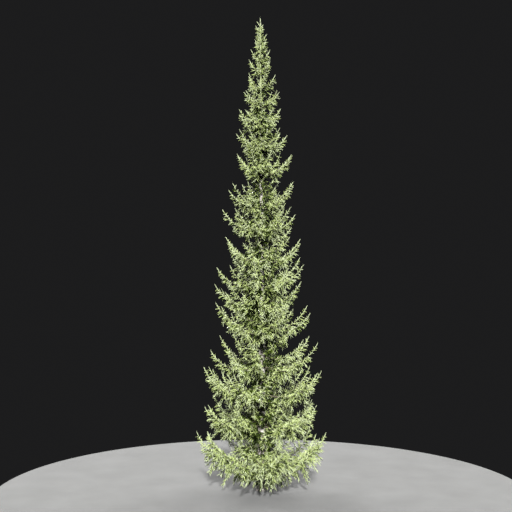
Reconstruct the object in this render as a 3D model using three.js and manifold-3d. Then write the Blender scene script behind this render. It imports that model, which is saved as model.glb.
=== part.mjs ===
// Norway spruce: a narrow forest tree whose boughs sag from the trunk and turn up at their ends.
// Millimetres, degrees, +Z up. The origin is the middle of the trunk's flat cut at ground level.
// Each whorl of boughs is a turned group on the trunk's line, and its pieces point along the group's +X.
import * as THREE from "three";
import Module from "manifold-3d";

const wasm = await Module();
wasm.setup();

// Trunk
const TREE_HEIGHT = 19500;
const TRUNK_TOP = 16150; // the leading shoot grows on from here
const TRUNK_RADIUS = 168; // at the ground, without the root flare
const TRUNK_TAPER = 0.9;
const TRUNK_SIDES = 20;
const TRUNK_LEVELS = [0, 70, 170, 320, 550, 950, 2200, 5200, 9000, 13000, TRUNK_TOP];
const FLARE_WIDTH = 75; // what the roots add to the radius at the ground
const FLARE_HEIGHT = 260; // over which the flare falls to a third
const FLARE_LOBES = 5;
const FLARE_LOBE_SHARE = 0.4;
const TOP_LEAN = -60; // the tip stands this far along X from the foot

// Crown outline: reach from the trunk's line against height, a slim spire on a wider cone
const SPIRE_SHARE = 0.25; // of the tree's height
const SPIRE_TIP_REACH = 120;
const SPIRE_SLOPE = 4100; // reach for each tree height below the top
const CONE_SLOPE = 2600;

// Whorls, from the ground up: the height of their tips, and how far each is turned from the last
const BARE_WHORL_TIPS = [2380, 3700, 4960]; // boughs bare near the trunk
const LEAFY_WHORL_TIPS = [6080, 7550, 8500, 9350, 10350, 11550, 12560, 13850, 14800, 15650, 16450];
const BARE_WHORL_BOUGHS = 4;
const LEAFY_WHORL_BOUGHS = 3;
const FIRST_TURN = -37;
const WHORL_TURN = 37;
const CROWN_SEED = 7;

// Habit of a bough: pitch above level at its root and tip, by the share of the tree above it
const TOP_ROOT_PITCH = 50;
const ROOT_PITCH_FALL = 84;
const ROOT_PITCH_POWER = 0.75;
const TOP_TIP_PITCH = 60;
const TIP_PITCH_RISE = 16;
const TIP_PITCH_POWER = 3;
const TURN_UP_POWER = 1.1; // the turn up gathers towards the tip
const LINE_STEPS = 12;

// Forks: the bough's own line and two branches that leave it at a share of its length
const BARE_SHARE = 0.2; // of a lower bough, before its foliage
const BARE_FORKS = [
  { at: 0, place: 0, turn: 0, share: 1, lift: 0, pairs: 7 },
  { at: 0.24, place: 1, turn: 42, share: 0.72, lift: 13, pairs: 5 },
  { at: 0.29, place: -1, turn: -44, share: 0.68, lift: -8, pairs: 5 },
];
const LEAFY_FORKS = [
  { at: 0, place: 0, turn: 0, share: 1, lift: 0, pairs: 5 },
  { at: 0.1, place: 1, turn: 41, share: 0.88, lift: 13, pairs: 4 },
  { at: 0.14, place: -1, turn: -41, share: 0.84, lift: -10, pairs: 4 },
];
const SHORT_BOUGH = 1900; // boughs shorter than this have one pair of teeth fewer on each branch
const AIM_JITTER = 6;
const LENGTH_JITTER = 0.07;
const SIDE_BEND = 10; // a branch curves sideways by up to this much

// Limbs: the ribs of the branches, and the bare boughs
const LIMB_ROOT_RADIUS = 4;
const LIMB_ROOT_SLOPE = 0.0085; // of its length
const LIMB_TIP_RADIUS = 4;
const BOUGH_SIDES = 6;
const BOUGH_STRETCHES = 3;

// Sprays: a branch is a rib with pairs of drooping teeth, and each tooth stands for several shoots
const SPRAY_START = 0.03; // bare rib before the first tooth
const FORK_SPRAY_START = 0.2; // the same on a branch that forks off
const TOOTH_PLACE = 0.5; // of the way from one notch to the next
const TOOTH_LENGTH = 330;
const TOOTH_LENGTH_SLOPE = 0.19; // of the whorl's boughs
const TOOTH_FADE = 0.5; // teeth shorten towards the tip by this power
const TOOTH_SWEEP = 0.6; // how far a tooth leans forward, as a share of its length
const TOOTH_FITS = [1, 0.85, 0.7, 0.55, 0.4]; // lengths that are tried in a tight space
const TOOTH_THICK = 0.03; // of its length, at the rib
const NOTCH_SHARE = 0.36; // what is left of a tooth's width beside it
const TOP_DROOP = 42; // of a tooth below its rib
const DROOP_FALL = 26; // more at the ground: teeth of the lowest boughs hang down

// Clearances
const SEAT_GAP = 0.3; // between a stem and what carries it
const SPACE_MARGIN = 14; // from a tooth to the edge of its mass's space
const TRUNK_CLEAR = 30; // from a tooth to the trunk
const HANG_SHARE = 0.7; // of the height between whorls, kept for what hangs below the boughs
const LOWEST_FOLIAGE = 330; // above the ground

// Leading shoot, with small whorls of its own
const LEADER_TIPS = [17150, 17770, 18180, 18550, 18840, 19170];
const LEADER_SHOOTS = [5, 5, 4, 4, 3, 3];
const LEADER_PAIRS = [2, 2, 2, 1, 1, 1];
const LEADER_ROOT_PITCH = 40;
const LEADER_PITCH_RISE = 4; // for each whorl higher
const LEADER_TIP_PITCH = 66;
const LEADER_TOOTH_SHARE = 0.5;
const LEADER_SPRAY_START = 0.12;
const LEADER_TIP_RADIUS = 8;
const LEADER_STEM_SHARES = [0, 0.5, 0.95]; // its rings, before it ends in a point

const bark = new THREE.MeshStandardMaterial({ color: 0x7d685a, roughness: 0.9, metalness: 0 });
const needles = new THREE.MeshStandardMaterial({ color: 0x8fa35c, roughness: 0.75, metalness: 0 });

const radians = THREE.MathUtils.degToRad;
const lerp = THREE.MathUtils.lerp;

// A seeded stream of numbers from 0 to 1.
function stream(seed) {
  let state = seed >>> 0;
  return () => {
    state = (state + 0x6d2b79f5) >>> 0;
    let mix = Math.imul(state ^ (state >>> 15), state | 1);
    mix ^= mix + Math.imul(mix ^ (mix >>> 7), mix | 61);
    return ((mix ^ (mix >>> 14)) >>> 0) / 4294967296;
  };
}

const either = (draw, size) => (2 * draw() - 1) * size;

// A unit direction from an azimuth and a pitch above level, in degrees.
function aim(azimuth, pitch) {
  const flat = Math.cos(radians(pitch));
  return new THREE.Vector3(
    flat * Math.cos(radians(azimuth)),
    flat * Math.sin(radians(azimuth)),
    Math.sin(radians(pitch)),
  );
}

// Trunk and crown outline
function trunkCentre(z) {
  return new THREE.Vector3(TOP_LEAN * (z / TREE_HEIGHT) ** 2, 0, z);
}

function trunkRadius(z) {
  return TRUNK_RADIUS * Math.max(0, 1 - z / TREE_HEIGHT) ** TRUNK_TAPER;
}

function flareAt(z, turn) {
  const lobes = 1 + FLARE_LOBE_SHARE * Math.cos(FLARE_LOBES * turn);
  return FLARE_WIDTH * lobes * Math.exp(-z / FLARE_HEIGHT);
}

function crownReach(z) {
  const below = 1 - z / TREE_HEIGHT;
  const spire = Math.min(below, SPIRE_SHARE);
  return SPIRE_TIP_REACH + SPIRE_SLOPE * spire + CONE_SLOPE * (below - spire);
}

function habitAt(z) {
  const below = 1 - z / TREE_HEIGHT;
  return {
    rootPitch: TOP_ROOT_PITCH - ROOT_PITCH_FALL * below ** ROOT_PITCH_POWER,
    tipPitch: TOP_TIP_PITCH + TIP_PITCH_RISE * below ** TIP_PITCH_POWER,
    droop: TOP_DROOP + DROOP_FALL * below,
  };
}

function pitchAt({ rootPitch, tipPitch }, share) {
  return lerp(rootPitch, tipPitch, share ** TURN_UP_POWER);
}

// Geometry: a closed surface through rings of points, ending in a ring or in one point.
function loft(rings) {
  const positions = [];
  const index = [];
  const starts = rings.map((ring) => {
    const start = positions.length / 3;
    ring.forEach((p) => positions.push(p.x, p.y, p.z));
    return start;
  });
  const sides = rings[0].length;
  const fan = (start, flip) => {
    for (let i = 1; i < sides - 1; i++) {
      index.push(start, start + (flip ? i + 1 : i), start + (flip ? i : i + 1));
    }
  };
  fan(starts[0], true);
  for (let k = 0; k + 1 < rings.length; k++) {
    for (let i = 0; i < sides; i++) {
      const next = (i + 1) % sides;
      const [a, b] = [starts[k] + i, starts[k] + next];
      const [c, d] = [starts[k + 1] + i, starts[k + 1] + next];
      if (rings[k + 1].length === 1) index.push(a, b, starts[k + 1]);
      else if (i % 2) index.push(a, b, c, b, d, c);
      else index.push(a, b, d, a, d, c);
    }
  }
  if (rings.at(-1).length > 1) fan(starts.at(-1), false);
  return new THREE.BufferGeometry()
    .setAttribute("position", new THREE.Float32BufferAttribute(positions, 3))
    .setIndex(index);
}

function solidOf(geometry) {
  return new wasm.Manifold(
    new wasm.Mesh({
      numProp: 3,
      vertProperties: new Float32Array(geometry.attributes.position.array),
      triVerts: new Uint32Array(geometry.index.array),
    }),
  );
}

function geometryOf(solid) {
  const { vertProperties, triVerts } = solid.getMesh();
  return new THREE.BufferGeometry()
    .setAttribute("position", new THREE.BufferAttribute(vertProperties, 3))
    .setIndex(new THREE.BufferAttribute(triVerts, 1));
}

// Fuses geometries and keeps the one body that hangs together.
function fused(geometries) {
  const bodies = wasm.Manifold.union(geometries.map(solidOf)).decompose();
  return bodies.sort((a, b) => b.volume() - a.volume())[0];
}

function namedMesh(name, geometry, material) {
  geometry.computeVertexNormals();
  const mesh = new THREE.Mesh(geometry, material);
  mesh.name = name;
  return mesh;
}

function trunkGeometry(grow = 0) {
  const rings = TRUNK_LEVELS.map((z) =>
    Array.from({ length: TRUNK_SIDES }, (_, i) => {
      const turn = (2 * Math.PI * i) / TRUNK_SIDES;
      const radius = trunkRadius(z) + flareAt(z, turn) + grow;
      return trunkCentre(z).add(
        new THREE.Vector3(radius * Math.cos(turn), radius * Math.sin(turn), 0),
      );
    }),
  );
  return loft(rings);
}

// A limb's line leaves at the root pitch and turns up or down towards its tip.
function limbLine({ start, azimuth, length, rootPitch, tipPitch, bend = 0 }) {
  const points = [start.clone()];
  for (let i = 0; i < LINE_STEPS; i++) {
    const share = (i + 0.5) / LINE_STEPS;
    const pitch = pitchAt({ rootPitch, tipPitch }, share);
    const step = aim(azimuth + bend * share, pitch).multiplyScalar(length / LINE_STEPS);
    points.push(points[i].clone().add(step));
  }
  return new THREE.CatmullRomCurve3(points);
}

// A station on a line, with the directions along it, across it and up from it.
function station(line, share, across) {
  const along = line.getTangent(share);
  const side = across.clone().addScaledVector(along, -across.dot(along)).normalize();
  return { at: line.getPoint(share), along, side, up: side.clone().cross(along).negate() };
}

function limbRing(place, radius, sides) {
  return Array.from({ length: sides }, (_, i) => {
    const turn = (2 * Math.PI * i) / sides;
    return place.at
      .clone()
      .addScaledVector(place.side, radius * Math.cos(turn))
      .addScaledVector(place.up, radius * Math.sin(turn));
  });
}

function limbRadius(length, share) {
  return lerp(LIMB_ROOT_RADIUS + LIMB_ROOT_SLOPE * length, LIMB_TIP_RADIUS, share);
}

// The end of a tooth on one side of a station, drooping and swept forward.
function toothEnd(place, sign, length, droop, sweep) {
  return place.at
    .clone()
    .addScaledVector(place.side, sign * length * Math.cos(radians(droop)))
    .addScaledVector(place.up, -length * Math.sin(radians(droop)))
    .addScaledVector(place.along, length * sweep);
}

// A spray: a rib along a line with pairs of drooping teeth, which shorten to stay in the mass's space.
function sprayGeometry({ line, azimuth, length, from, start, pairs, tooth, droop, holds }) {
  const across = aim(azimuth + 90, 0);
  const ring = (share, ends, thick) => {
    const { at, up } = station(line, share, across);
    const rise = up.multiplyScalar(Math.max(thick, limbRadius(length, share)));
    return [ends(1), at.clone().add(rise), ends(-1), at.clone().sub(rise)];
  };
  const rib = (share) => {
    const place = station(line, share, across);
    return ring(share, (sign) => toothEnd(place, sign, limbRadius(length, share), 0, 0), 0);
  };
  const rings = [rib(from), rib(start)];
  for (let pair = 0; pair < pairs; pair++) {
    const [share, notch] = [TOOTH_PLACE, 1].map((step) => lerp(start, 1, (pair + step) / (pairs + 1)));
    const full = tooth * (1 - share) ** TOOTH_FADE;
    const [place, beside] = [share, notch].map((s) => station(line, s, across));
    const fitted = (sign) => {
      const ends = TOOTH_FITS.map((fit) => toothEnd(place, sign, full * fit, droop, TOOTH_SWEEP));
      return ends.find(holds) ?? toothEnd(place, sign, full * NOTCH_SHARE, droop, 0);
    };
    const inner = (sign) => toothEnd(beside, sign, full * NOTCH_SHARE, droop, 0);
    rings.push(ring(share, fitted, TOOTH_THICK * full));
    rings.push(ring(notch, inner, TOOTH_THICK * full));
  }
  return loft([...rings, [line.getPoint(1)]]);
}

// A tier of boughs, worked out from its tips down to its roots on the trunk.
function makeTier(tipHeight, habit) {
  const unit = limbLine({ start: new THREE.Vector3(), azimuth: 0, length: 1, ...habit }).getPoint(1);
  const reach = crownReach(tipHeight) - trunkRadius(tipHeight) / 2;
  const length = reach / unit.x;
  const height = tipHeight - unit.z * length;
  const start = new THREE.Vector3(trunkRadius(height) / 2, 0, height);
  const line = limbLine({ start, azimuth: 0, length, ...habit });
  return { habit, length, height, profile: line.getPoints(LINE_STEPS) };
}

const whorls = [...BARE_WHORL_TIPS, ...LEAFY_WHORL_TIPS].map((tipHeight, i) => ({
  number: i + 1,
  bare: i < BARE_WHORL_TIPS.length,
  ...makeTier(tipHeight, habitAt(tipHeight)),
}));

const leaderTiers = LEADER_TIPS.map((tipHeight, k) => {
  const rootPitch = LEADER_ROOT_PITCH + LEADER_PITCH_RISE * k;
  return makeTier(tipHeight, { rootPitch, tipPitch: LEADER_TIP_PITCH, droop: TOP_DROOP });
});

const tiers = [...whorls, leaderTiers[0]];

// The height of a tier's boughs at a distance from the trunk's line, carried on straight past both ends.
function boughHeight({ profile }, distance) {
  let k = 1;
  while (k < profile.length - 1 && profile[k].x < distance) k++;
  const [a, b] = [profile[k - 1], profile[k]];
  return lerp(a.z, b.z, (distance - a.x) / (b.x - a.x));
}

function tierFloor(i, distance) {
  const spacing = tiers[Math.max(i, 1)].height - tiers[Math.max(i, 1) - 1].height;
  return Math.max(LOWEST_FOLIAGE, boughHeight(tiers[i], distance) - HANG_SHARE * spacing);
}

// True where a point lies in a sector about +X, given in degrees, and off the sector's sides.
function inSector(point, middle, half) {
  const turned = THREE.MathUtils.radToDeg(Math.atan2(point.y, point.x)) - middle;
  const off = half - Math.abs(THREE.MathUtils.euclideanModulo(turned + 180, 360) - 180);
  return Math.hypot(point.x, point.y) * Math.sin(radians(Math.min(off, 90))) > SPACE_MARGIN;
}

// True where a point, given from the trunk's line, lies in the height and distance of a tier's masses.
function inTier(i, point) {
  const distance = Math.hypot(point.x, point.y);
  const above = i + 1 < tiers.length ? tierFloor(i + 1, distance) : TREE_HEIGHT;
  return (
    distance > trunkRadius(point.z) + TRUNK_CLEAR &&
    point.z > tierFloor(i, distance) + SPACE_MARGIN &&
    point.z < above - SPACE_MARGIN
  );
}

// The branches of one mass, in its whorl's frame; the first one is the bough's own line.
function forkedLines({ habit, height, length }, forks, draw) {
  const branches = [];
  forks.forEach(({ at, place, turn, share, lift, pairs }) => {
    const branch = {
      place,
      azimuth: turn + either(draw, AIM_JITTER),
      length: length * share * (1 + either(draw, LENGTH_JITTER)),
      bend: either(draw, SIDE_BEND),
      rootPitch: pitchAt(habit, at) + lift,
      tipPitch: habit.tipPitch,
      droop: habit.droop,
      pairs,
    };
    const stump = aim(branch.azimuth, 0).multiplyScalar(trunkRadius(height) / 2);
    const start = branches.length ? branches[0].line.getPoint(at) : stump;
    if (length < SHORT_BOUGH) branch.pairs -= 1;
    branches.push({ ...branch, line: limbLine({ start, ...branch }) });
  });
  return branches;
}

// A bare lower bough, cut square where its foliage begins.
function boughGeometry({ line, length, azimuth }) {
  const across = aim(azimuth + 90, 0);
  const rings = Array.from({ length: BOUGH_STRETCHES + 1 }, (_, i) => {
    const share = (BARE_SHARE * i) / BOUGH_STRETCHES;
    return limbRing(station(line, share, across), limbRadius(length, share), BOUGH_SIDES);
  });
  return loft(rings);
}

function massSolid(whorl, branches, from, sector) {
  const tooth = TOOTH_LENGTH + TOOTH_LENGTH_SLOPE * whorl.length;
  const half = sector / branches.length / 2;
  const sprays = branches.map((branch, i) => {
    const root = i ? 0 : from;
    const middle = 2 * half * branch.place;
    const lifted = new THREE.Vector3(0, 0, whorl.height);
    const holds = (point) =>
      inTier(whorl.number - 1, point.clone().add(lifted)) && inSector(point, middle, half);
    const start = i ? FORK_SPRAY_START : root + SPRAY_START;
    return sprayGeometry({ ...branch, from: root, start, tooth, holds });
  });
  return fused(sprays);
}

function whorlGroup(whorl, cutter) {
  const count = whorl.bare ? BARE_WHORL_BOUGHS : LEAFY_WHORL_BOUGHS;
  const group = new THREE.Group();
  group.position.copy(trunkCentre(whorl.height));
  group.rotation.z = radians(FIRST_TURN + WHORL_TURN * whorl.number);
  for (let i = 0; i < count; i++) {
    const side = new THREE.Group();
    side.rotation.z = (2 * Math.PI * i) / count;
    group.add(side);
    group.updateMatrixWorld(true);
    const cut = solidOf(cutter.clone().applyMatrix4(side.matrixWorld.clone().invert()));
    const label = `${String(whorl.number).padStart(2, "0")}_${"abcd"[i]}`;
    const draw = stream(CROWN_SEED + whorl.number * 10 + i);
    const sector = 360 / count;
    if (whorl.bare) {
      const branches = forkedLines(whorl, BARE_FORKS, draw);
      const bough = solidOf(boughGeometry(branches[0])).subtract(cut);
      side.add(namedMesh(`bough_${label}`, geometryOf(bough), bark));
      const from = BARE_SHARE + SEAT_GAP / branches[0].length;
      const mass = massSolid(whorl, branches, from, sector);
      side.add(namedMesh(`foliage_${label}`, geometryOf(mass), needles));
    } else {
      const branches = forkedLines(whorl, LEAFY_FORKS, draw);
      const mass = massSolid(whorl, branches, 0, sector).subtract(cut);
      side.add(namedMesh(`foliage_${label}`, geometryOf(mass), needles));
    }
  }
  return group;
}

// The leading shoot grows on from the trunk's top with small whorls of its own.
function leaderGroup() {
  const group = new THREE.Group();
  group.position.copy(trunkCentre(TRUNK_TOP + SEAT_GAP));
  const length = TREE_HEIGHT - TRUNK_TOP - SEAT_GAP;
  const top = trunkCentre(TREE_HEIGHT).sub(trunkCentre(TRUNK_TOP)).setZ(length);
  const line = new THREE.LineCurve3(new THREE.Vector3(), top);
  const across = new THREE.Vector3(1, 0, 0);
  const stem = LEADER_STEM_SHARES.map((share) => {
    const radius = lerp(trunkRadius(TRUNK_TOP), LEADER_TIP_RADIUS, share);
    return limbRing(station(line, share, across), radius, BOUGH_SIDES);
  });
  const pieces = [loft([...stem, [top]])];
  leaderTiers.forEach(({ habit, length: shootLength, height }, k) => {
    const start = line.getPoint((height - TRUNK_TOP) / length);
    const lifted = new THREE.Vector3(0, 0, TRUNK_TOP);
    for (let i = 0; i < LEADER_SHOOTS[k]; i++) {
      const azimuth = (360 * (i + 0.5 * (k % 2))) / LEADER_SHOOTS[k];
      const shoot = { azimuth, length: shootLength, ...habit };
      const holds = (point) =>
        inTier(whorls.length, point.clone().add(lifted)) &&
        inSector(point.clone().sub(start), azimuth, 180 / LEADER_SHOOTS[k]);
      const teeth = {
        from: 0,
        start: LEADER_SPRAY_START,
        pairs: LEADER_PAIRS[k],
        tooth: LEADER_TOOTH_SHARE * shootLength,
        holds,
      };
      pieces.push(sprayGeometry({ ...shoot, ...teeth, line: limbLine({ start, ...shoot }) }));
    }
  });
  group.add(namedMesh("foliage_top", geometryOf(fused(pieces)), needles));
  return group;
}

const tree = new THREE.Group();
tree.name = "norway_spruce";
tree.add(namedMesh("trunk", trunkGeometry(), bark));
const seatCutter = trunkGeometry(SEAT_GAP / Math.cos(Math.PI / TRUNK_SIDES));
whorls.forEach((whorl) => tree.add(whorlGroup(whorl, seatCutter)));
tree.add(leaderGroup());

export default tree;
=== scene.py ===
"""Norway spruce, dressed: bark, boughs, twigs and needles grown by the rule of its solids.

Metres and degrees, +Z up. The origin is the middle of the trunk's flat cut at ground level.
"""

import math

import bpy
import numpy as np
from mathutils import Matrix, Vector


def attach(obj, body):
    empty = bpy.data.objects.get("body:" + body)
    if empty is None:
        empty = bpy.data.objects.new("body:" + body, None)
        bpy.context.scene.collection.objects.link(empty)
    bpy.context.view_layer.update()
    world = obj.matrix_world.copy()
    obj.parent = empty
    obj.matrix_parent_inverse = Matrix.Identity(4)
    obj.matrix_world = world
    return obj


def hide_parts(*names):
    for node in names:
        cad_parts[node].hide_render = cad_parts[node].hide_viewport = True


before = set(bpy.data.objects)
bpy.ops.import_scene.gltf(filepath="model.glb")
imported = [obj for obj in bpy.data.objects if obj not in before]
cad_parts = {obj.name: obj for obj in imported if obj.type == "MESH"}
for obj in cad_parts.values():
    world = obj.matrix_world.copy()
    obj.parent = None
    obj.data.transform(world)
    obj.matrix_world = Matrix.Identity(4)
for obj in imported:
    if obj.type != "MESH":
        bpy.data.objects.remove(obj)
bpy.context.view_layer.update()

# Trunk, as in the solids
TREE_HEIGHT = 19.5
TRUNK_TOP = 16.15
TRUNK_RADIUS = 0.168
TRUNK_TAPER = 0.9
FLARE_WIDTH = 0.075
FLARE_HEIGHT = 0.26
FLARE_LOBES = 5
FLARE_LOBE_SHARE = 0.4
TOP_LEAN = -0.06
LEADER_TIP_RADIUS = 0.008

# Crown outline, whorls and habit, as in the solids
SPIRE_SHARE = 0.25
SPIRE_TIP_REACH = 0.12
SPIRE_SLOPE = 4.1
CONE_SLOPE = 2.6
BARE_WHORL_TIPS = [2.38, 3.7, 4.96]
LEAFY_WHORL_TIPS = [6.08, 7.55, 8.5, 9.35, 10.35, 11.55, 12.56, 13.85, 14.8, 15.65, 16.45]
BARE_WHORL_BOUGHS = 4
LEAFY_WHORL_BOUGHS = 3
FIRST_TURN = -37
WHORL_TURN = 37
CROWN_SEED = 7
WHORL_SEED_STEP = 10
TOP_ROOT_PITCH = 50
ROOT_PITCH_FALL = 84
ROOT_PITCH_POWER = 0.75
TOP_TIP_PITCH = 60
TIP_PITCH_RISE = 16
TIP_PITCH_POWER = 3
TURN_UP_POWER = 1.1
TOP_DROOP = 42
DROOP_FALL = 26
LEADER_TIPS = [17.15, 17.77, 18.18, 18.55, 18.84, 19.17]
LEADER_SHOOTS = [5, 5, 4, 4, 3, 3]
LEADER_ROOT_PITCH = 40
LEADER_PITCH_RISE = 4
LEADER_TIP_PITCH = 66

# Forks of a bough, as in the solids: (share of the bough, turn, length share, lift)
BARE_FORKS = [(0, 0, 1, 0), (0.24, 42, 0.72, 13), (0.29, -44, 0.68, -8)]
LEAFY_FORKS = [(0, 0, 1, 0), (0.1, 41, 0.88, 13), (0.14, -41, 0.84, -10)]
AIM_JITTER = 6
LENGTH_JITTER = 0.07
SIDE_BEND = 10
LIMB_ROOT_RADIUS = 0.004
LIMB_ROOT_SLOPE = 0.0085
LIMB_TIP_RADIUS = 0.004
LINE_STEPS = 36

# Finer forks of the lower boughs, and small boughs on the trunk between the whorls
FINE_FORKS = [(0.42, 38, 0.5, -6), (0.5, -36, 0.44, 4)]
BARE_SMALL_BOUGHS = 34
LEAFY_SMALL_BOUGHS = 27
SMALL_REACH_LEAST = 0.16  # of the crown's reach there
BARE_SMALL_REACH = 0.8
LEAFY_SMALL_REACH = 0.9
SMALL_REACH_POWER = 2.4
LOWEST_SMALL_BOUGH = 0.6
LOWEST_PITCH_SLOPE = 40  # degrees that one may fall, for each metre above the lowest foliage

# Shoots and needles on the young trunk itself
STEM_SHOOTS_FROM = 9.0
STEM_SHOOT_SPACING = 0.05
STEM_SHOOT_RANGE = (0.12, 0.24)
STEM_SHOOT_PITCH = 50
STEM_SHOOT_JITTER = 10
STEM_NEEDLES_FROM = 13.2
STEM_NEEDLES = 4200
STEM_NEEDLE_SHARE = 1.3  # of a needle's length
STEM_NEEDLE_PLACE = 0.5  # they lean as needles do at this share of a shoot

# Twigs: several stand where a solid has one tooth, all round the limb
TOOTH_LENGTH = 0.3
TOOTH_LENGTH_SLOPE = 0.165
TOOTH_FADE = 0.85
WHORL_TOOTH_SHARES = [1.25, 1.0, 0.85]
LEADER_TOOTH_SHARE = 0.5
BARE_TWIG_START = 0.22
FORK_TWIG_START = 0.1
LEAFY_TWIG_START = 0.12
LEADER_TWIG_START = 0.05
LEAST_TWIGS = 4
TWIG_SPACING = 0.049
TWIG_STEP_RANGE = (0.1, 0.9)  # where a twig stands in its own step along the limb
TWIG_LENGTH_RANGE = (0.6, 1.05)
UPPER_TWIG_LENGTH = 0.28  # of one below the limb
TWIG_ROLL_JITTER = 20
TWIG_SPLAY = 56
TWIG_SPLAY_JITTER = 8
TWIG_SAG = 0.5
FULL_DROOP = 60
LEAST_TWIG = 0.1
LEAST_FALL = 0.01
LOWEST_FOLIAGE = 0.16
LOWEST_SLOPE = 0.4  # the skirt's edge rises by this, outside its level reach
SKIRT_REACH = 1.2
TIP_TWIG = 0.08
TIP_TWIG_SLOPE = 0.58
TIP_BARE = 0.17
TIP_BARE_SHARE = 0.3
TWIG_BARE_SHARE = 0.1
TWIG_STEM_SHARE = 0.3
TWIG_STEM_RADIUS = 0.0045
TWIG_STEM_LEAST = 0.34  # shorter twigs have no bare stem

# Side shoots on the twigs
SHOOT_SPACING = 0.043
SHOOTLESS_LENGTH = 0.1
SHOOT_START = 0.12
SHOOT_STEP_RANGE = (0.2, 0.8)
SHOOT_LENGTH_RANGE = (0.08, 0.135)
SHOOT_SIZE_RANGE = (0.8, 1.25)
SHOOT_REST = 0.08
SHOOT_REST_SHARE = 0.4  # of the twig past it
SHOOT_SPLAY = 45
SHOOT_SPLAY_JITTER = 9
SHOOT_ROLL_JITTER = 70
SHOOT_LIFT = 0.08
SHOOT_FORWARD = 0.2
SHOOT_TIP_BARE = 0.11
SHOOT_TIP_BARE_SHARE = 0.4

# Ends of the limbs, clad in needles themselves
TERMINAL_LENGTH = 0.3
TOP_STRETCHES = 2
CLAD_STRETCHES = 6
CLAD_SHARE = 0.6
LONGEST_CLAD = 0.8

# Needles: a slim sheath of them along each shoot, and others that stand out of it
NEEDLE_PITCH = 0.036
END_NEEDLE_PITCH = 0.016
LEAST_NEEDLES = 5
NEEDLE_START = 0.04
NEEDLE_RUN = 0.95
NEEDLE_ROOT_SHARE = 0.3  # of the sheath's radius
NEEDLE_LENGTH = 0.048
NEEDLE_LENGTH_RANGE = (0.8, 1.15)
NEEDLE_WIDTH = 0.0135
NEEDLE_LEAN_ROOT = 36
NEEDLE_LEAN_TIP = 18
NEEDLE_LEAN_JITTER = 0.12  # in radians
NEEDLE_WIDEST = 0.4
NEEDLE_FOLD = 0.3
GOLDEN_TURN = 137.508
SHEATH_SIDES = 3
SHEATH_RADIUS = 0.0125
SHEATH_TAPER = 0.35
TWIG_SHEATH_SHARES = (0, 0.5, 0.85)
SHOOT_SHEATH_SHARES = (0, 0.82)
STEEP = 0.9

# Shades of needles, from the old ones inside the crown to the young tips, as linear base colours; older
# needles are darker and young tips paler, as on the tree, but the two darkest, near black, are painted shade
# of the crown's hollows
NEEDLE_SHADES = {
    "inner_painted_shade": (0.004, 0.007, 0.0002),
    "olive_painted_shade": (0.014, 0.023, 0.0006),
    "middle": (0.094, 0.116, 0.036),
    "fresh": (0.125, 0.149, 0.054),
    "pale": (0.143, 0.167, 0.075),
    "tips": (0.156, 0.178, 0.101),
}
# The two darkest shades' shoots are fuller, so that their near-black painted shade fills the gaps in the
# crown's hollows
SHADE_FULLNESS = [1.9, 1.4, 1, 1, 1, 1]
STEM_SHADE = "pale"
YOUNG_SHARE = 0.8
YOUNG_LENGTH = 0.31
YOUNG_TWIG = 0.6
END_YOUTH = 1.2
LEAST_YOUTH = 0.3
SPRAY_JITTER = 0.4
SHOOT_JITTER = 0.45
# Painted shade: OUTER_SHARE ranks sprays near the trunk darker, up to CORE_SHARE of the reach
OUTER_SHARE = 0.75
CORE_SHARE = 0.45  # of the crown's reach, inside which sprays are dealt darker shades: painted shade of the crown's hollows
NEEDLE_DRIFT = (0.82, 1.15)
NEEDLE_DRIFT_SCALE = 9.0
NEEDLE_DRIFT_DETAIL = 2.0

# Relief of the bark
TRUNK_ROWS = 360
TRUNK_SIDES = 40
TRUNK_ROW_POWER = 1.2
PLATES_AROUND = 14
PLATE_HEIGHT = 0.085
PLATE_DEPTH = 0.007
PLATE_LEVEL = 0.7
PLATE_GRAIN = 0.12
PLATE_STEP_RANGE = (0.1, 0.9)
SPARE_PLATE_ROWS = 4
CRACK_WIDTH = 0.35
FAR = 9.0
COLLAR_HEIGHT = 0.02
COLLAR_WIDTH = 0.06
BOUGH_SIDES = 5
BOUGH_STEP = 0.11
BOUGH_RELIEF = 0.09
LEAST_RINGS = 6

# Looks of the bark: linear base colours of its cracks, plates and lichen, and plates to a metre
BARKS = {
    "bark": ((0.034, 0.029, 0.025), (0.09, 0.082, 0.073), (0.124, 0.117, 0.107), 11.0),
    "limb_bark": ((0.013, 0.011, 0.007), (0.033, 0.027, 0.017), (0.042, 0.038, 0.025), 30.0),
    "twig_bark": ((0.038, 0.023, 0.013), (0.09, 0.055, 0.029), (0.098, 0.081, 0.052), 60.0),
}
CRACK_STOPS = (0.02, 0.16)
LICHEN_STOPS = (0.45, 0.62)
LICHEN_SCALE = 5.0
GRAIN_SCALE = 90.0
GRAIN_STRENGTH = 0.6
GRAIN_DEPTH = 0.004

# Finishes as (roughness, specular level), and what the materials share
NEEDLE_FINISH = (0.65, 0.06)
BARK_FINISH = (0.85, 0.15)
FLOOR_FINISH = (0.9, 0.05)
NOISE_DETAIL = 4.0
DRIFT_STOPS = (0.3, 0.7)
BLACK = (0, 0, 0)
WHITE = (1, 1, 1)

# Camera, floor and light; lamps are (name, azimuth from the front, height, strength, spread)
CAMERA_DISTANCE = 40
CAMERA_HEIGHT = 9.67
CAMERA_SIDE = -0.237
CAMERA_CLIP = 400
FRAME_WIDTH = 21.16
SENSOR_WIDTH = 36
FRONT = -90
FLOOR_RADIUS = 11
FLOOR_STEP = 3
FLOOR_SCALE = 0.6
FLOOR_COLOURS = ((0.042, 0.042, 0.041), (0.049, 0.049, 0.048))
BACKDROP = (0.012, 0.012, 0.0125)
LAMPS = [
    ("key", 2, 30, 32, 4),
    ("fill", -50, 20, 0.6, 50),
    ("back_left", 215, 32, 11, 40),
    ("back_right", 140, 28, 9, 40),
]

WORD = 0xFFFFFFFF
UP = np.array([0.0, 0.0, 1.0])
SIDEWAYS = np.array([1.0, 0.0, 0.0])


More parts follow.
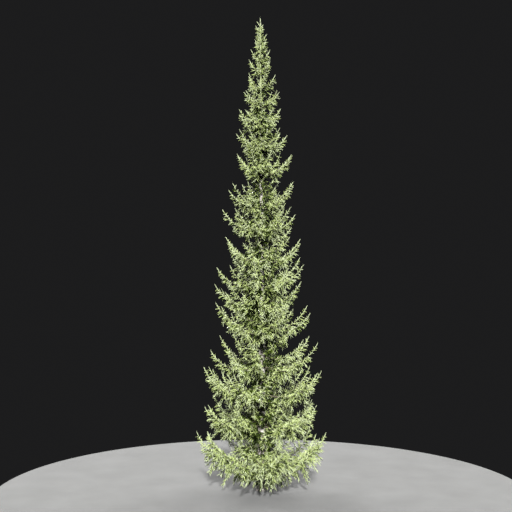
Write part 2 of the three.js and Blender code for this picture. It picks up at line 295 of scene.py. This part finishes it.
def stream(seed):
    """A seeded stream of numbers from 0 to 1, the same as in the solids."""
    state = seed
    while True:
        state = (state + 0x6D2B79F5) & WORD
        mix = ((state ^ (state >> 15)) * (state | 1)) & WORD
        mix ^= (mix + (mix ^ (mix >> 7)) * (mix | 61)) & WORD
        yield ((mix ^ (mix >> 14)) & WORD) / (WORD + 1)


def either(draw, size):
    return (2 * next(draw) - 1) * size


def aim(azimuth, pitch):
    """Unit directions from an azimuth and a pitch above level."""
    turn, rise = np.broadcast_arrays(np.radians(azimuth), np.radians(pitch))
    return np.stack([np.cos(rise) * np.cos(turn), np.cos(rise) * np.sin(turn), np.sin(rise)], axis=-1)


def unit(vectors):
    return vectors / np.linalg.norm(vectors, axis=-1, keepdims=True)


def trunk_centre(z):
    z = np.asarray(z, dtype=float)
    return np.stack([TOP_LEAN * (z / TREE_HEIGHT) ** 2, np.zeros_like(z), z], axis=-1)


def trunk_radius(z):
    return TRUNK_RADIUS * np.maximum(0, 1 - z / TREE_HEIGHT) ** TRUNK_TAPER


def crown_reach(z):
    below = 1 - z / TREE_HEIGHT
    spire = np.minimum(below, SPIRE_SHARE)
    return SPIRE_TIP_REACH + SPIRE_SLOPE * spire + CONE_SLOPE * (below - spire)


def habit_at(z):
    """Pitch of a bough at its root and its tip, and the droop of its twigs."""
    below = 1 - z / TREE_HEIGHT
    root_pitch = TOP_ROOT_PITCH - ROOT_PITCH_FALL * below**ROOT_PITCH_POWER
    tip_pitch = TOP_TIP_PITCH + TIP_PITCH_RISE * below**TIP_PITCH_POWER
    return root_pitch, tip_pitch, TOP_DROOP + DROOP_FALL * below


def pitch_at(root_pitch, tip_pitch, share):
    return root_pitch + (tip_pitch - root_pitch) * share**TURN_UP_POWER


def limb_line(start, azimuth, length, root_pitch, tip_pitch, bend=0.0):
    """Points of a limb that leaves at the root pitch and turns up towards its tip."""
    share = (np.arange(LINE_STEPS) + 0.5) / LINE_STEPS
    steps = aim(azimuth + bend * share, pitch_at(root_pitch, tip_pitch, share)) * (length / LINE_STEPS)
    return np.vstack([start, start + np.cumsum(steps, axis=0)])


def on_line(points, share):
    """Places and directions at shares of a line's length."""
    place = np.clip(share, 0, 1) * (len(points) - 1)
    k = np.minimum(place.astype(int), len(points) - 2)
    along = points[k + 1] - points[k]
    return points[k] + along * (place - k)[:, None], unit(along)


def tier_of(tip_height, habit):
    """Length of a tier's boughs, and the height of their roots on the trunk."""
    root_pitch, tip_pitch, _ = habit
    end = limb_line(np.zeros(3), 0, 1, root_pitch, tip_pitch)[-1]
    length = (crown_reach(tip_height) - trunk_radius(tip_height) / 2) / end[0]
    return length, tip_height - end[2] * length


def branch(line, azimuth, length, droop, tooth, start):
    """A limb and what its twigs need: their droop, their greatest length and where they start."""
    return dict(line=line, azimuth=azimuth, length=length, droop=droop, tooth=tooth, start=start)


def bough_branches(number, bare, side, count, tip_height):
    """The branches of one bough; the first is the bough's own line."""
    habit = habit_at(tip_height)
    root_pitch, tip_pitch, droop = habit
    length, height = tier_of(tip_height, habit)
    turn = FIRST_TURN + WHORL_TURN * number + 360 * side / count
    tooth = TOOTH_LENGTH + TOOTH_LENGTH_SLOPE * length
    if bare:
        tooth *= WHORL_TOOTH_SHARES[number - 1]
    draw = stream(CROWN_SEED + number * WHORL_SEED_STEP + side)
    branches = []
    for at, fork_turn, share, lift in BARE_FORKS if bare else LEAFY_FORKS:
        azimuth = turn + fork_turn + either(draw, AIM_JITTER)
        reach = length * share * (1 + either(draw, LENGTH_JITTER))
        bend = either(draw, SIDE_BEND)
        if branches:
            start = on_line(branches[0]["line"], np.array([at]))[0][0]
            twig_start = FORK_TWIG_START
        else:
            start = trunk_centre(height) + aim(azimuth, 0) * trunk_radius(height) / 2
            twig_start = BARE_TWIG_START if bare else LEAFY_TWIG_START
        line = limb_line(start, azimuth, reach, pitch_at(root_pitch, tip_pitch, at) + lift, tip_pitch, bend)
        branches.append(branch(line, azimuth, reach, droop, tooth, twig_start))
    return branches


def fine_forks(bough, rng):
    """Finer branches that leave a bough further out than its main forks."""
    main = bough[0]
    root_pitch, tip_pitch, _ = habit_at(main["line"][-1][2])
    branches = []
    for at, turn, share, lift in FINE_FORKS:
        start = on_line(main["line"], np.array([at]))[0][0]
        azimuth = main["azimuth"] + turn + rng.uniform(-AIM_JITTER, AIM_JITTER)
        length = main["length"] * share * (1 + rng.uniform(-LENGTH_JITTER, LENGTH_JITTER))
        line = limb_line(start, azimuth, length, pitch_at(root_pitch, tip_pitch, at) + lift, tip_pitch)
        branches.append(branch(line, azimuth, length, main["droop"], main["tooth"], FORK_TWIG_START))
    return branches


def small_branches(boughs, rng):
    """Short boughs on the trunk between the whorls."""
    heights = [LOWEST_SMALL_BOUGH] + sorted({bough[0]["line"][0][2] for bough in boughs})
    branches = []
    for gap, (low, high) in enumerate(zip(heights, heights[1:])):
        bare = gap < len(BARE_WHORL_TIPS)
        widest = BARE_SMALL_REACH if bare else LEAFY_SMALL_REACH
        count = BARE_SMALL_BOUGHS if bare else LEAFY_SMALL_BOUGHS
        for k in range(count):
            height = low + (high - low) * (k + 1) / (count + 1)
            azimuth = GOLDEN_TURN * len(branches)
            root_pitch, tip_pitch, droop = habit_at(height)
            root_pitch = max(root_pitch, -LOWEST_PITCH_SLOPE * (height - LOWEST_FOLIAGE))
            share = SMALL_REACH_LEAST + (widest - SMALL_REACH_LEAST) * rng.random() ** SMALL_REACH_POWER
            length = crown_reach(height) * share
            start = trunk_centre(height) + aim(azimuth, 0) * trunk_radius(height) / 2
            bend = rng.uniform(-SIDE_BEND, SIDE_BEND)
            line = limb_line(start, azimuth, length, root_pitch, tip_pitch, bend)
            tooth = TOOTH_LENGTH + TOOTH_LENGTH_SLOPE * length
            branches.append(branch(line, azimuth, length, droop, tooth, LEAFY_TWIG_START))
    return branches


def whorl_boughs():
    boughs = []
    for i, tip_height in enumerate(BARE_WHORL_TIPS + LEAFY_WHORL_TIPS):
        bare = i < len(BARE_WHORL_TIPS)
        count = BARE_WHORL_BOUGHS if bare else LEAFY_WHORL_BOUGHS
        boughs += [bough_branches(i + 1, bare, side, count, tip_height) for side in range(count)]
    return boughs


def leader_branches():
    """The small whorls of the leading shoot; every second one stands half a step round."""
    branches = []
    for k, tip_height in enumerate(LEADER_TIPS):
        root_pitch = LEADER_ROOT_PITCH + LEADER_PITCH_RISE * k
        habit = (root_pitch, LEADER_TIP_PITCH, TOP_DROOP)
        length, height = tier_of(tip_height, habit)
        tooth = LEADER_TOOTH_SHARE * length
        for i in range(LEADER_SHOOTS[k]):
            azimuth = 360 * (i + 0.5 * (k % 2)) / LEADER_SHOOTS[k]
            line = limb_line(trunk_centre(height), azimuth, length, root_pitch, LEADER_TIP_PITCH)
            branches.append(branch(line, azimuth, length, TOP_DROOP, tooth, LEADER_TWIG_START))
    return branches


def station(line, share, azimuth):
    """Places on a line with the directions along it, across it and up from it."""
    at, along = on_line(line, share)
    across = aim(azimuth + 90, 0)
    side = unit(across - along * (along @ across)[:, None])
    return at, along, side, np.cross(along, side)


def twigs_of(grown, rng):
    """Curves, as three control points each, of the twigs round one branch."""
    length, start = grown["length"], grown["start"]
    count = max(LEAST_TWIGS, round((1 - start) * length / TWIG_SPACING))
    order = np.arange(count)
    end = 1 - min(TIP_BARE / length, TIP_BARE_SHARE)
    share = start + (end - start) * (order + rng.uniform(*TWIG_STEP_RANGE, count)) / count
    at, along, side, up = station(grown["line"], share, grown["azimuth"])
    roll = np.radians(GOLDEN_TURN * order + rng.normal(0, TWIG_ROLL_JITTER, count))
    out = side * np.cos(roll)[:, None] + up * np.sin(roll)[:, None]
    rest = (1 - share) * length
    upper = 1 + (UPPER_TWIG_LENGTH - 1) * (1 + np.sin(roll)) / 2
    size = grown["tooth"] * (1 - share) ** TOOTH_FADE * upper * rng.uniform(*TWIG_LENGTH_RANGE, count)
    size = np.clip(size, LEAST_TWIG, TIP_TWIG + TIP_TWIG_SLOPE * rest * upper)
    splay = np.radians(TWIG_SPLAY + rng.normal(0, TWIG_SPLAY_JITTER, count))[:, None]
    heading = out * np.sin(splay) + along * np.cos(splay)
    sag = TWIG_SAG * np.clip(rest, 0, 1) * (1 - np.sin(roll)) / 2
    bent = heading - UP * (sag[:, None] * grown["droop"] / FULL_DROOP)
    lowest = LOWEST_FOLIAGE + LOWEST_SLOPE * np.maximum(0, np.hypot(at[:, 0], at[:, 1]) - SKIRT_REACH)
    room = (at[:, 2] - lowest) / np.maximum(-bent[:, 2], LEAST_FALL)
    size = np.minimum(size, np.maximum(room, LEAST_TWIG))[:, None]
    return np.stack([at, at + heading * size / 2, at + bent * size], axis=1)


def clad_ends(grown):
    """Curves of the last stretches of a branch."""
    stretches = min(CLAD_STRETCHES, max(1, int(CLAD_SHARE * grown["length"] / TERMINAL_LENGTH)))
    step = min(TERMINAL_LENGTH / grown["length"], LONGEST_CLAD)
    share = 1 - step * np.arange(2 * stretches + 1) / 2
    points, _ = on_line(grown["line"], share)
    return np.stack([points[2::2], points[1::2], points[:-1:2]], axis=1)


def clad_top():
    """Curves of the last stretches of the leading shoot."""
    low = TREE_HEIGHT - TOP_STRETCHES * TERMINAL_LENGTH
    points = trunk_centre(np.linspace(low, TREE_HEIGHT, 2 * TOP_STRETCHES + 1))
    return np.stack([points[:-2:2], points[1::2], points[2::2]], axis=1)


def stem_shoots(rng):
    """Curves of the short shoots on the upper trunk itself."""
    height = np.arange(STEM_SHOOTS_FROM, TREE_HEIGHT - TERMINAL_LENGTH, STEM_SHOOT_SPACING)
    azimuth = GOLDEN_TURN * np.arange(len(height))
    radius = trunk_radius(height)[:, None]
    at = trunk_centre(height) + aim(azimuth, 0) * radius / 2
    heading = aim(azimuth, STEM_SHOOT_PITCH + rng.normal(0, STEM_SHOOT_JITTER, len(height)))
    size = rng.uniform(*STEM_SHOOT_RANGE, len(height))[:, None] + radius
    return np.stack([at, at + heading * size / 2, at + (heading + UP * SHOOT_LIFT) * size], axis=1)


def stem_needles(rng):
    """Points and faces of the needles on the young stem itself."""
    height = np.sort(rng.uniform(STEM_NEEDLES_FROM, TREE_HEIGHT - TERMINAL_LENGTH, STEM_NEEDLES))
    out = aim(rng.uniform(0, 360, STEM_NEEDLES), 0)
    root = trunk_centre(height) + out * trunk_radius(height)[:, None]
    along = np.broadcast_to(UP, out.shape)
    share = np.full(STEM_NEEDLES, STEM_NEEDLE_PLACE)
    return folded_needles(root, along, out, share, STEM_NEEDLE_SHARE * NEEDLE_LENGTH, rng)


def bezier(curves, share):
    """Places and directions at one share, or one each, of curves with three control points."""
    t = np.broadcast_to(share, len(curves))[:, None]
    a, b, c = curves[:, 0], curves[:, 1], curves[:, 2]
    at = a * (1 - t) ** 2 + b * (2 * t * (1 - t)) + c * t**2
    return at, unit((b - a) * (1 - t) + (c - b) * t)


def beside(along):
    """Two directions square to each given one."""
    steep = np.abs(along[:, 2:]) > STEEP
    side = unit(np.cross(along, np.where(steep, SIDEWAYS, UP)))
    return side, np.cross(side, along)


def curve_length(curves):
    first = np.linalg.norm(curves[:, 1] - curves[:, 0], axis=1)
    return first + np.linalg.norm(curves[:, 2] - curves[:, 1], axis=1)


def side_shoots(twigs, rng):
    """Curves of the shoots that leave each twig left and right, the twig of each and its place there."""
    length = curve_length(twigs)
    counts = np.maximum(0, np.round((length - SHOOTLESS_LENGTH) / SHOOT_SPACING)).astype(int)
    parent = np.repeat(np.arange(len(twigs)), counts)
    order = np.arange(len(parent)) - np.repeat(np.cumsum(counts) - counts, counts)
    last = 1 - np.minimum(SHOOT_TIP_BARE / length, SHOOT_TIP_BARE_SHARE)[parent]
    place = order + rng.uniform(*SHOOT_STEP_RANGE, len(parent))
    share = SHOOT_START + (last - SHOOT_START) * place / counts[parent]
    at, along = bezier(twigs[parent], share)
    side, up = beside(along)
    roll = np.radians(rng.uniform(-SHOOT_ROLL_JITTER, SHOOT_ROLL_JITTER, len(parent)))
    sign = np.where((order + parent) % 2, 1, -1)
    out = side * (sign * np.cos(roll))[:, None] + up * np.sin(roll)[:, None]
    splay = np.radians(SHOOT_SPLAY + rng.normal(0, SHOOT_SPLAY_JITTER, len(parent)))[:, None]
    heading = along * np.cos(splay) + out * np.sin(splay)
    rest = SHOOT_REST_SHARE * (1 - share) * length[parent] + SHOOT_REST
    size = np.clip(rest * rng.uniform(*SHOOT_SIZE_RANGE, len(parent)), *SHOOT_LENGTH_RANGE)[:, None]
    middle = at + heading * size / 2
    end = at + (heading + UP * SHOOT_LIFT + along * SHOOT_FORWARD) * size
    return np.stack([at, middle, end], axis=1), parent, share


def sheath(curves, radius, shares):
    """A slim spindle along each curve, its open root inside the stem that it leaves."""
    tip, _ = bezier(curves, 1)
    rings = []
    for share in shares:
        at, along = bezier(curves, share)
        side, up = beside(along)
        size = radius * (1 - SHEATH_TAPER * share)
        for k in range(SHEATH_SIDES):
            turn = 2 * math.pi * k / SHEATH_SIDES
            rings.append(at + (side * math.cos(turn) + up * math.sin(turn)) * size)
    points = np.stack([*rings, tip], axis=1)
    faces = []
    top = SHEATH_SIDES * len(shares)
    last = top - SHEATH_SIDES
    for k in range(SHEATH_SIDES):
        after = (k + 1) % SHEATH_SIDES
        for low in range(0, last, SHEATH_SIDES):
            high = low + SHEATH_SIDES
            faces += [(low + k, low + after, high + after), (low + k, high + after, high + k)]
        faces.append((last + k, last + after, top))
    return points, np.array(faces)


def needles(curves, pitch, fullness, rng):
    """Needles that stand out round each curve, one to each pitch of its length."""
    counts = np.maximum(LEAST_NEEDLES, np.round(curve_length(curves) / pitch)).astype(int)
    shoot = np.repeat(np.arange(len(curves)), counts)
    order = np.arange(len(shoot)) - np.repeat(np.cumsum(counts) - counts, counts)
    share = (order + 0.5) / counts[shoot]
    at, along = bezier(curves[shoot], NEEDLE_START + NEEDLE_RUN * share)
    side, up = beside(along)
    turn = np.radians(GOLDEN_TURN * order + rng.uniform(0, 360, len(curves))[shoot])[:, None]
    out = side * np.cos(turn) + up * np.sin(turn)
    root = at + out * SHEATH_RADIUS * NEEDLE_ROOT_SHARE
    return folded_needles(root, along, out, share, NEEDLE_LENGTH * math.sqrt(fullness), rng)


def folded_needles(root, along, out, share, size, rng):
    """Lozenges folded along their middle, two faces each, that lean out from their stem."""
    lean = np.radians(NEEDLE_LEAN_ROOT + (NEEDLE_LEAN_TIP - NEEDLE_LEAN_ROOT) * share)
    lean = (lean + rng.normal(0, NEEDLE_LEAN_JITTER, len(share)))[:, None]
    heading = along * np.cos(lean) + out * np.sin(lean)
    length = (size * rng.uniform(*NEEDLE_LENGTH_RANGE, len(share)))[:, None]
    across = unit(np.cross(heading, out))
    raised = np.cross(across, heading)
    wide = NEEDLE_WIDTH / 2
    belly = root + heading * length * NEEDLE_WIDEST + raised * NEEDLE_WIDTH * NEEDLE_FOLD
    points = np.stack([root, belly - across * wide, belly + across * wide, root + heading * length], axis=1)
    return points, np.array([(0, 2, 3), (0, 3, 1)])


def joined(parts):
    """One list of points and one of triangles from (points of many copies, faces of one copy) pairs."""
    points, faces, start = [], [], 0
    for copies, pattern in parts:
        count, size = copies.shape[:2]
        shift = start + size * np.arange(count)
        faces.append((pattern[None] + shift[:, None, None]).reshape(-1, 3))
        points.append(copies.reshape(-1, 3))
        start += count * size
    return np.concatenate(points), np.concatenate(faces)


def mesh_piece(name, points, *face_lists):
    """A mesh object from arrays of points and of faces, riding on the one body."""
    mesh = bpy.data.meshes.new(name)
    corners = np.concatenate([faces.ravel() for faces in face_lists])
    sizes = np.concatenate([np.full(len(faces), faces.shape[1]) for faces in face_lists])
    mesh.vertices.add(len(points))
    mesh.vertices.foreach_set("co", points.astype(np.float32).ravel())
    mesh.loops.add(len(corners))
    mesh.loops.foreach_set("vertex_index", corners.astype(np.int32))
    mesh.polygons.add(len(sizes))
    mesh.polygons.foreach_set("loop_start", (np.cumsum(sizes) - sizes).astype(np.int32))
    mesh.polygons.foreach_set("use_smooth", np.ones(len(sizes), dtype=bool))
    mesh.update(calc_edges=True)
    mesh.validate()
    piece = bpy.data.objects.new(name, mesh)
    bpy.context.scene.collection.objects.link(piece)
    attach(piece, "root")
    return piece


def tube_faces(rows, sides, start=0):
    """Four-sided faces of a tube of rings."""
    ring = np.arange(sides)
    low = np.stack([ring, (ring + 1) % sides], axis=1)
    first = start + sides * np.arange(rows - 1)[:, None, None] + low[None]
    return np.concatenate([first, (first + sides)[..., ::-1]], axis=-1).reshape(-1, 4)


def cap_faces(rows, sides, start=0):
    """Triangles that close such a tube at its ends, on two points that follow its rings."""
    ring = start + np.arange(sides)
    after = start + (np.arange(sides) + 1) % sides
    last = sides * (rows - 1)
    foot = np.full(sides, start + sides * rows)
    under = np.stack([after, ring, foot], axis=1)
    over = np.stack([last + ring, last + after, foot + 1], axis=1)
    return np.vstack([under, over])


def plate_edges(turn, z, rng):
    """How far each place on the bark is from the cracks round its plate, from 0 to 1."""
    u = turn / (2 * math.pi) * PLATES_AROUND
    v = z / PLATE_HEIGHT
    rows = int(v.max()) + SPARE_PLATE_ROWS
    jitter = rng.uniform(*PLATE_STEP_RANGE, (rows, PLATES_AROUND, 2))
    near = np.full((2,) + u.shape, FAR)
    for dv in (-1, 0, 1):
        for du in (-1, 0, 1):
            cu, cv = np.floor(u).astype(int) + du, np.floor(v).astype(int) + dv
            place = jitter[np.clip(cv + 1, 0, rows - 1), cu % PLATES_AROUND]
            gap = np.hypot(cu + place[..., 0] - u, cv + place[..., 1] - v)
            near = np.sort(np.concatenate([near, gap[None]]), axis=0)[:2]
    return np.clip((near[1] - near[0]) / CRACK_WIDTH, 0, 1)


def trunk_piece(roots, rng):
    """The trunk from the ground to its leading shoot, with plates of bark and a collar round each bough."""
    top = TREE_HEIGHT - TERMINAL_LENGTH / 2
    z = top * np.linspace(0, 1, TRUNK_ROWS) ** TRUNK_ROW_POWER
    turn = 2 * math.pi * np.arange(TRUNK_SIDES) / TRUNK_SIDES
    z, turn = np.meshgrid(z, turn, indexing="ij")
    past = np.clip((z - TRUNK_TOP) / (TREE_HEIGHT - TRUNK_TOP), 0, 1)
    leader = trunk_radius(TRUNK_TOP) + (LEADER_TIP_RADIUS - trunk_radius(TRUNK_TOP)) * past
    radius = np.where(z < TRUNK_TOP, trunk_radius(z), leader)
    lobes = 1 + FLARE_LOBE_SHARE * np.cos(FLARE_LOBES * turn)
    radius = radius + FLARE_WIDTH * lobes * np.exp(-z / FLARE_HEIGHT)
    relief = PLATE_DEPTH * radius / TRUNK_RADIUS
    radius = radius + relief * (plate_edges(turn, z, rng) - PLATE_LEVEL + rng.normal(0, PLATE_GRAIN, z.shape))
    for height, azimuth in roots:
        around = (turn - math.radians(azimuth) + math.pi) % (2 * math.pi) - math.pi
        gap = np.hypot(around * radius, z - height)
        radius = radius + COLLAR_HEIGHT * np.exp(-((gap / COLLAR_WIDTH) ** 2)) * (1 - height / TREE_HEIGHT)
    points = trunk_centre(z) + aim(np.degrees(turn), 0) * radius[..., None]
    points = np.vstack([points.reshape(-1, 3), trunk_centre(0.0), trunk_centre(top)])
    faces = tube_faces(TRUNK_ROWS, TRUNK_SIDES)
    return mesh_piece("trunk_bark", points, faces, cap_faces(TRUNK_ROWS, TRUNK_SIDES))


def limb_tube(grown, rng):
    """Rings of a tapering limb with the uneven relief of its bark."""
    rows = max(LEAST_RINGS, round(grown["length"] / BOUGH_STEP))
    share = np.linspace(0, 1, rows)
    at, along, side, up = station(grown["line"], share, grown["azimuth"])
    root = LIMB_ROOT_RADIUS + LIMB_ROOT_SLOPE * grown["length"]
    radius = root + (LIMB_TIP_RADIUS - root) * share
    radius = radius[:, None] * (1 + rng.normal(0, BOUGH_RELIEF, (rows, BOUGH_SIDES)))
    turn = 2 * math.pi * np.arange(BOUGH_SIDES) / BOUGH_SIDES
    ring = side[:, None] * np.cos(turn)[None, :, None] + up[:, None] * np.sin(turn)[None, :, None]
    return (at[:, None] + ring * radius[..., None]).reshape(-1, 3), rows


def boughs_piece(branches, rng):
    points, faces, caps, start = [], [], [], 0
    for grown in branches:
        tube, rows = limb_tube(grown, rng)
        ends = grown["line"][[0, -1]]
        points += [tube, ends]
        faces.append(tube_faces(rows, BOUGH_SIDES, start))
        caps.append(cap_faces(rows, BOUGH_SIDES, start))
        start += len(tube) + len(ends)
    return mesh_piece("boughs_bark", np.vstack(points), np.vstack(faces), np.vstack(caps))


def dealt_shades(curves, spray, youth, rng):
    """The number of each curve's shade, equal lengths to each: older sprays are darker, and sprays near the
    trunk darker still, as painted shade.
    """
    middle = curves[:, 1]
    outward = np.hypot(middle[:, 0], middle[:, 1]) / crown_reach(middle[:, 2])
    score = YOUNG_SHARE * youth + SPRAY_JITTER * rng.random(spray.max() + 1)[spray]
    score = score + SHOOT_JITTER * rng.random(len(curves))
    # painted shade: sprays near the trunk rank darker
    score = score + OUTER_SHARE * np.minimum(outward / CORE_SHARE, 1)
    order = np.argsort(score)
    weight = np.cumsum(curve_length(curves)[order])
    shades = len(NEEDLE_SHADES)
    rank = np.empty(len(curves), dtype=int)
    rank[order] = np.minimum(weight / weight[-1] * shades, shades - 1)
    return rank


def grown_sprays(branches, rng):
    """The needle-clad curves: twigs, ends of limbs, and side shoots; with the spray and the youth of each."""
    twigs = np.concatenate([twigs_of(grown, rng) for grown in branches])
    shoots, parent, share = side_shoots(twigs, rng)
    ends = np.concatenate([clad_ends(grown) for grown in branches] + [clad_top(), stem_shoots(rng)])
    spray = np.concatenate([np.arange(len(twigs) + len(ends)), parent])
    twig_youth = YOUNG_TWIG * (curve_length(twigs) < YOUNG_LENGTH)
    shoot_youth = LEAST_YOUTH + (1 - LEAST_YOUTH) * share
    youth = np.concatenate([twig_youth, np.full(len(ends), END_YOUTH), shoot_youth])
    return twigs, ends, shoots, spray, youth


def needle_pieces(twigs, ends, shoots, spray, youth, rng):
    """One piece for each shade; the two darkest shades' shoots are fuller, so that their painted shade closes
    the gaps in the crown.
    """
    clad = twigs.copy()
    bare = np.where(curve_length(twigs) > TWIG_STEM_LEAST, TWIG_BARE_SHARE, 0)
    clad[:, 0] = bezier(twigs, bare)[0]
    stems = np.concatenate([clad, ends])
    curves = np.concatenate([stems, shoots])
    is_stem = np.arange(len(curves)) < len(stems)
    pitch = np.full(len(curves), NEEDLE_PITCH)
    pitch[len(clad):len(stems)] = END_NEEDLE_PITCH
    rank = dealt_shades(curves, spray, youth, rng)
    pieces = []
    for k, (shade, fullness) in enumerate(zip(NEEDLE_SHADES, SHADE_FULLNESS)):
        chosen = rank == k
        parts = [
            sheath(curves[chosen & is_stem], SHEATH_RADIUS * fullness, TWIG_SHEATH_SHARES),
            sheath(curves[chosen & ~is_stem], SHEATH_RADIUS * fullness, SHOOT_SHEATH_SHARES),
            needles(curves[chosen], pitch[chosen], fullness, rng),
        ]
        if shade == STEM_SHADE:
            parts.append(stem_needles(rng))
        points, faces = joined(parts)
        piece = mesh_piece(f"needles_{shade}", points, faces)
        piece.data.materials.append(needle_material(shade, NEEDLE_SHADES[shade]))
        pieces.append(piece)
    return pieces


def twigs_piece(twigs):
    """The bare stems of the longer twigs."""
    twigs = twigs[curve_length(twigs) > TWIG_STEM_LEAST]
    stems = twigs.copy()
    stems[:, 2] = bezier(twigs, TWIG_STEM_SHARE)[0]
    stems[:, 1] = bezier(twigs, TWIG_STEM_SHARE / 2)[0]
    points, faces = joined([sheath(stems, TWIG_STEM_RADIUS, SHOOT_SHEATH_SHARES)])
    return mesh_piece("twigs", points, faces)


def new_material(name, finish):
    material = bpy.data.materials.new(name)
    material.use_nodes = True
    nodes, links = material.node_tree.nodes, material.node_tree.links
    shader = nodes["Principled BSDF"]
    roughness, specular = finish
    shader.inputs["Roughness"].default_value = roughness
    shader.inputs["Specular IOR Level"].default_value = specular
    return material, nodes, links, shader


def noise_node(nodes, links, scale, detail=NOISE_DETAIL):
    coordinates = nodes.new("ShaderNodeTexCoord")
    noise = nodes.new("ShaderNodeTexNoise")
    noise.inputs["Scale"].default_value = scale
    noise.inputs["Detail"].default_value = detail
    links.new(coordinates.outputs["Object"], noise.inputs["Vector"])
    return noise.outputs["Fac"]


def colour_ramp(nodes, links, source, places, colours):
    ramp = nodes.new("ShaderNodeValToRGB")
    for element, place, colour in zip(ramp.color_ramp.elements, places, colours):
        element.position = place
        element.color = (*colour, 1)
    links.new(source, ramp.inputs["Fac"])
    return ramp.outputs["Color"]


def needle_material(name, colour):
    """Waxy needles whose green drifts a little from shoot to shoot."""
    material, nodes, links, shader = new_material(f"needles_{name}", NEEDLE_FINISH)
    noise = noise_node(nodes, links, NEEDLE_DRIFT_SCALE, NEEDLE_DRIFT_DETAIL)
    colours = [[drift * c for c in colour] for drift in NEEDLE_DRIFT]
    links.new(colour_ramp(nodes, links, noise, DRIFT_STOPS, colours), shader.inputs["Base Color"])
    return material


def bark_material(name, crack, plate, lichen, plate_scale):
    """Scaly bark: plates parted by dark cracks, with paler patches and a fine grain."""
    material, nodes, links, shader = new_material(name, BARK_FINISH)
    coordinates = nodes.new("ShaderNodeTexCoord")
    cells = nodes.new("ShaderNodeTexVoronoi")
    cells.feature = "DISTANCE_TO_EDGE"
    cells.inputs["Scale"].default_value = plate_scale
    links.new(coordinates.outputs["Object"], cells.inputs["Vector"])
    plates = colour_ramp(nodes, links, cells.outputs["Distance"], CRACK_STOPS, (crack, plate))
    patches = noise_node(nodes, links, LICHEN_SCALE)
    fade = colour_ramp(nodes, links, patches, LICHEN_STOPS, (BLACK, WHITE))
    mix = nodes.new("ShaderNodeMix")
    mix.data_type = "RGBA"
    links.new(fade, mix.inputs["Factor"])
    links.new(plates, mix.inputs["A"])
    mix.inputs["B"].default_value = (*lichen, 1)
    links.new(mix.outputs["Result"], shader.inputs["Base Color"])
    bump = nodes.new("ShaderNodeBump")
    bump.inputs["Strength"].default_value = GRAIN_STRENGTH
    bump.inputs["Distance"].default_value = GRAIN_DEPTH
    links.new(noise_node(nodes, links, GRAIN_SCALE), bump.inputs["Height"])
    links.new(bump.outputs["Normal"], shader.inputs["Normal"])
    return material


def floor_material():
    material, nodes, links, shader = new_material("pale_floor", FLOOR_FINISH)
    noise = noise_node(nodes, links, FLOOR_SCALE)
    links.new(colour_ramp(nodes, links, noise, DRIFT_STOPS, FLOOR_COLOURS), shader.inputs["Base Color"])
    return material


def studio():
    """A pale floor, soft lights all round and the camera."""
    scene = bpy.context.scene
    mesh = bpy.data.meshes.new("floor")
    rim = aim(np.arange(0, 360, FLOOR_STEP), 0) * FLOOR_RADIUS
    mesh.from_pydata(rim.tolist(), [], [range(len(rim))])
    floor = bpy.data.objects.new("floor", mesh)
    floor.data.materials.append(floor_material())
    scene.collection.objects.link(floor)
    for name, azimuth, height, strength, spread in LAMPS:
        light = bpy.data.objects.new(name, bpy.data.lights.new(name, "SUN"))
        light.data.energy = strength
        light.data.angle = math.radians(spread)
        towards = Vector(-aim(azimuth + FRONT, height))
        light.rotation_euler = towards.to_track_quat("-Z", "Y").to_euler()
        scene.collection.objects.link(light)
    world = bpy.data.worlds.new("studio")
    world.use_nodes = True
    world.node_tree.nodes["Background"].inputs["Color"].default_value = (*BACKDROP, 1)
    scene.world = world
    scene.view_settings.view_transform = "Standard"
    camera = bpy.data.objects.new("camera", bpy.data.cameras.new("camera"))
    camera.data.sensor_width = SENSOR_WIDTH
    camera.data.lens = SENSOR_WIDTH * CAMERA_DISTANCE / FRAME_WIDTH
    camera.data.clip_end = CAMERA_CLIP
    camera.location = (CAMERA_SIDE, -CAMERA_DISTANCE, CAMERA_HEIGHT)
    camera.rotation_euler = (math.pi / 2, 0, 0)
    scene.collection.objects.link(camera)
    scene.camera = camera


def main():
    rng = np.random.default_rng(CROWN_SEED)
    boughs = whorl_boughs()
    branches = [grown for bough in boughs for grown in bough] + leader_branches()
    bare_boughs = boughs[: len(BARE_WHORL_TIPS) * BARE_WHORL_BOUGHS]
    branches += [grown for bough in bare_boughs for grown in fine_forks(bough, rng)]
    branches += small_branches(boughs, rng)
    roots = [(bough[0]["line"][0][2], bough[0]["azimuth"]) for bough in boughs]
    twigs, ends, shoots, spray, youth = grown_sprays(branches, rng)
    trunk = trunk_piece(roots, rng)
    limbs = boughs_piece(branches, rng)
    stems = twigs_piece(twigs)
    for piece, (name, look) in zip((trunk, limbs, stems), BARKS.items()):
        piece.data.materials.append(bark_material(name, *look))
    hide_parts("trunk")
    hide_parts(*[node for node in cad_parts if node.startswith("bough")])
    masses = [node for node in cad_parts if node.startswith("foliage")]
    for piece in needle_pieces(twigs, ends, shoots, spray, youth, rng):
        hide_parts(*masses)
    studio()


main()
